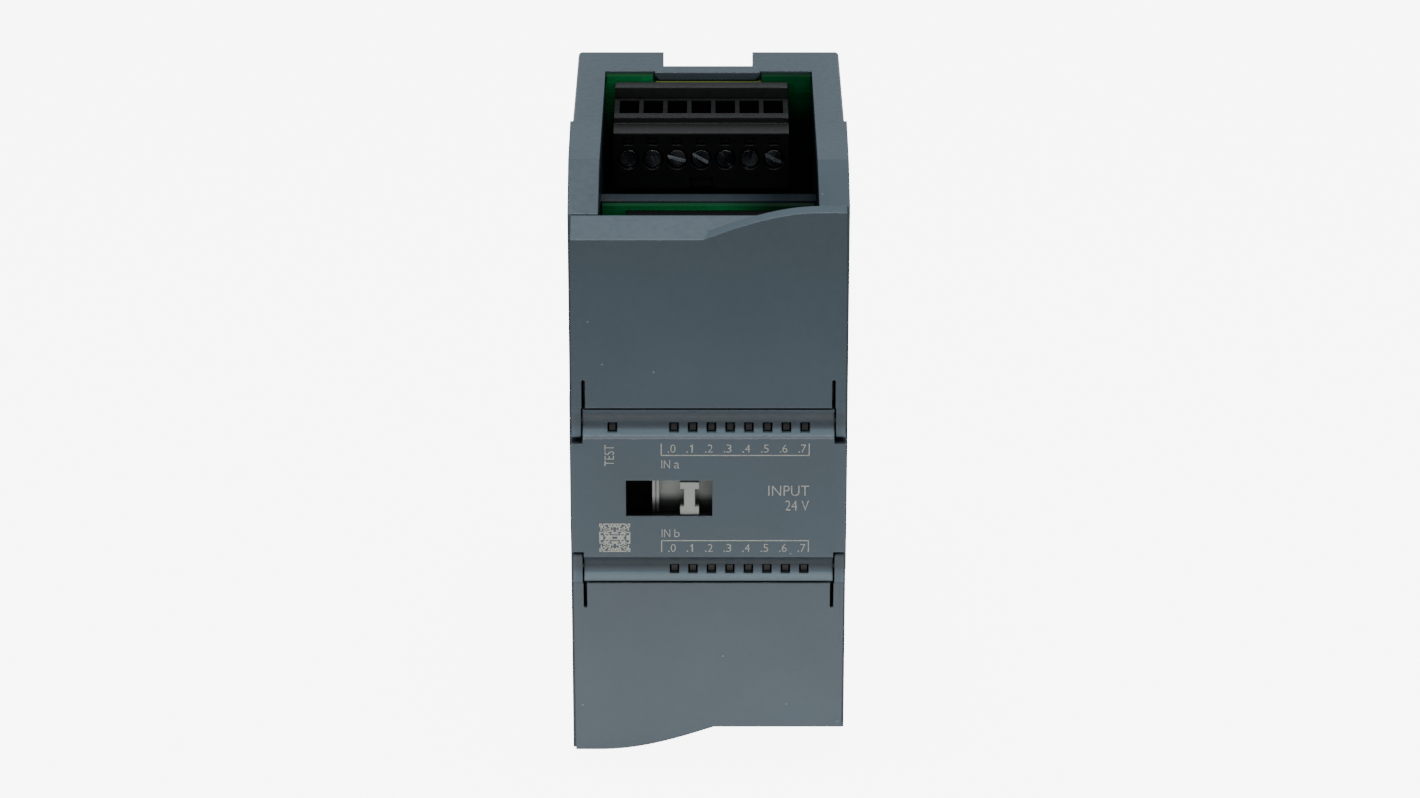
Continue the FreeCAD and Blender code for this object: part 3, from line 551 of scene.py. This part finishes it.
def print_text(name, words, upright=False):
    """Lettering on the panel: each word is (text, left, low, length, tall); upright words read upwards."""
    shape = bmesh.new()
    for text, left, low, length, tall in words:
        mesh = letter_mesh(text)
        xs = [v.co.x for v in mesh.vertices]
        ys = [v.co.y for v in mesh.vertices]
        for v in mesh.vertices:
            along = (v.co.x - min(xs)) / (max(xs) - min(xs)) * length
            up = (v.co.y - min(ys)) / (max(ys) - min(ys)) * tall
            x, z = (left + tall - up, low + along) if upright else (left + along, low + up)
            v.co = on_panel(x, z, FILM if v.co.z > 0 else -FILM)
        shape.from_mesh(mesh)
        bpy.data.meshes.remove(mesh)
    finish_print(shape, name)


def input_numbers(name, low):
    """A row of digits; a 1 is only a stroke with a flag, so it is drawn from tiles."""
    middles = [FIRST_INPUT + INPUT_PITCH * i for i in range(INPUTS)]
    left = [middle - DIGIT_WIDTH / 2 for middle in middles]
    print_text(name, [(str(i), left[i], low, DIGIT_WIDTH, DIGIT_HEIGHT) for i in range(INPUTS) if i != 1])
    one = middles[1]
    stroke = (one, one + 0.19, low, low + DIGIT_HEIGHT)
    flag = (one - 0.22, one, low + 0.98, low + 1.16)
    dots = [(middle - 0.80, middle - 0.60, low, low + 0.2) for middle in middles]
    print_tiles(name + "_marks", [stroke, flag] + dots)


def bracket(name, line, tick):
    """A line along a row of digits, with a tick towards them at each end."""
    low, high = min(line, tick), max(line, tick)
    print_tiles(name, [
        (BRACKET_LEFT, BRACKET_RIGHT, line - LINE / 2, line + LINE / 2),
        (BRACKET_LEFT, BRACKET_LEFT + LINE, low, high),
        (BRACKET_RIGHT - LINE, BRACKET_RIGHT, low, high),
    ])


def group_name(name, letter, low, tall):
    word = ("IN", GROUP_LEFT, low, 1.35, CAPITAL_HEIGHT)
    print_text(name, [word, (letter, GROUP_LETTER_LEFT, low, 0.85, tall)])


def lattice(name, left, high, cell, half):
    """Decorative woven tile: one random corner mirrored four ways, so it holds no code."""
    corner = [[random.random() < 0.56 for _ in range(half)] for _ in range(half)]
    tiles = []
    for row in range(2 * half):
        for column in range(2 * half):
            if corner[min(row, 2 * half - 1 - row)][min(column, 2 * half - 1 - column)]:
                x, z = left + column * cell, high - row * cell
                tiles.append((x, x + cell, z - cell, z))
    print_tiles(name, tiles)


input_numbers("upper_numbers", 7.92)
input_numbers("lower_numbers", -9.28)
bracket("upper_bracket", 7.42, 9.45)
bracket("lower_bracket", -7.32, -9.3)
group_name("upper_group", "a", 5.2, 1.0)
group_name("lower_group", "b", -6.72, CAPITAL_HEIGHT)
print_text("status_label", [("TEST", -16.45, 5.6, 3.6, 1.5)], upright=True)
print_text("type_label", [("INPUT", 9.5, 0.45, 6.45, 1.75), ("24 V", 12.2, -2.1, 3.75, 1.75)])
lattice("lattice_tile", -17.4, -4.35, 0.206, 12)


# ---- camera, floor and lights, in metres ----
CAMERA_PLACE = (0.00024, -0.69879, 0.33824)
CAMERA_DIP = 22.297         # degrees below the horizontal
SENSOR = 36.0               # mm
LENS = 115.19               # mm

FLOOR_SIZE = 8.0
FLOOR_DROP = 0.0002         # keeps the floor clear of the module's foot
FLOOR_SEEN = 7.5            # glow of the floor as the camera sees it
FLOOR_BACK = 1.0            # glow that lights the module, from under it and behind
FLOOR_FRONT = 1.45          # from just in front of it
FLOOR_FAR = 0.1             # and from well in front of it
FRONT_STRIP = (-0.058, -0.005)
FAR_STRIP = (-0.32, -0.055)

HORIZON = 0.55
OVERHEAD = 0.62
WORLD_FRONT = 0.35          # how much of the world's light is left in front of the module
WORLD_COLOUR = (0.86, 0.94, 1.0)


def make_camera():
    data = bpy.data.cameras.new("camera")
    data.sensor_width = SENSOR
    data.lens = LENS
    camera = bpy.data.objects.new("camera", data)
    camera.location = CAMERA_PLACE
    camera.rotation_euler = (math.radians(90 - CAMERA_DIP), 0, 0)
    bpy.context.scene.collection.objects.link(camera)
    bpy.context.scene.camera = camera


def make_floor():
    """White sweep that glows a little, so that no shadow falls on it; it is dimmer well in front."""
    bpy.ops.mesh.primitive_plane_add(size=FLOOR_SIZE, location=(0, 0, -FLOOR_DROP))
    floor = bpy.context.object
    floor.name = "floor"
    mat, tree, shader = new_material("pale_floor")
    coords = object_coords(tree)
    shade = mix_colour(tree, noise(tree, coords, 3.0), (0.48, 0.48, 0.48), (0.52, 0.52, 0.52))
    tree.links.new(shade, shader.inputs["Base Color"])
    shader.inputs["Roughness"].default_value = 0.8
    shader.inputs["Emission Color"].default_value = (1.0, 1.0, 1.0, 1.0)
    _, y, _ = split(tree, coords)
    near = remap(tree, y, *FRONT_STRIP, FLOOR_FRONT, FLOOR_BACK)
    far = remap(tree, y, *FAR_STRIP, FLOOR_FAR / FLOOR_FRONT, 1.0)
    glow = maths(tree, "MULTIPLY", near, far)
    seen = add(tree, "ShaderNodeLightPath").outputs["Is Camera Ray"]
    tree.links.new(mix_value(tree, seen, glow, FLOOR_SEEN), shader.inputs["Emission Strength"])
    floor.data.materials.append(mat)


def area_light(name, location, size, power):
    """Softbox that faces the module's centre."""
    data = bpy.data.lights.new(name, "AREA")
    data.shape = "RECTANGLE"
    data.size, data.size_y = size
    data.energy = power
    light = bpy.data.objects.new(name, data)
    light.location = location
    direction = Vector((0, 0, CENTRE * MM)) - Vector(location)
    light.rotation_euler = direction.to_track_quat("-Z", "Y").to_euler()
    bpy.context.scene.collection.objects.link(light)


def make_world():
    """Studio that is almost evenly bright, and dimmer in front of the module."""
    world = bpy.data.worlds.new("studio")
    bpy.context.scene.world = world
    world.use_nodes = True
    tree = world.node_tree
    background = tree.nodes["Background"]
    feed(tree, WORLD_COLOUR, background.inputs["Color"])
    _, y, z = split(tree, add(tree, "ShaderNodeTexCoord").outputs["Generated"])
    height = remap(tree, z, 0.25, 0.60, HORIZON, OVERHEAD)
    front = remap(tree, y, -0.5, 0.3, WORLD_FRONT, 1.0)
    tree.links.new(maths(tree, "MULTIPLY", height, front), background.inputs["Strength"])


make_camera()
make_floor()
make_world()
area_light("top", (0.0, -0.16, 1.0), (0.6, 0.3), 8.4)
area_light("front", (0.0, -0.95, 0.60), (1.2, 0.8), 3.6)
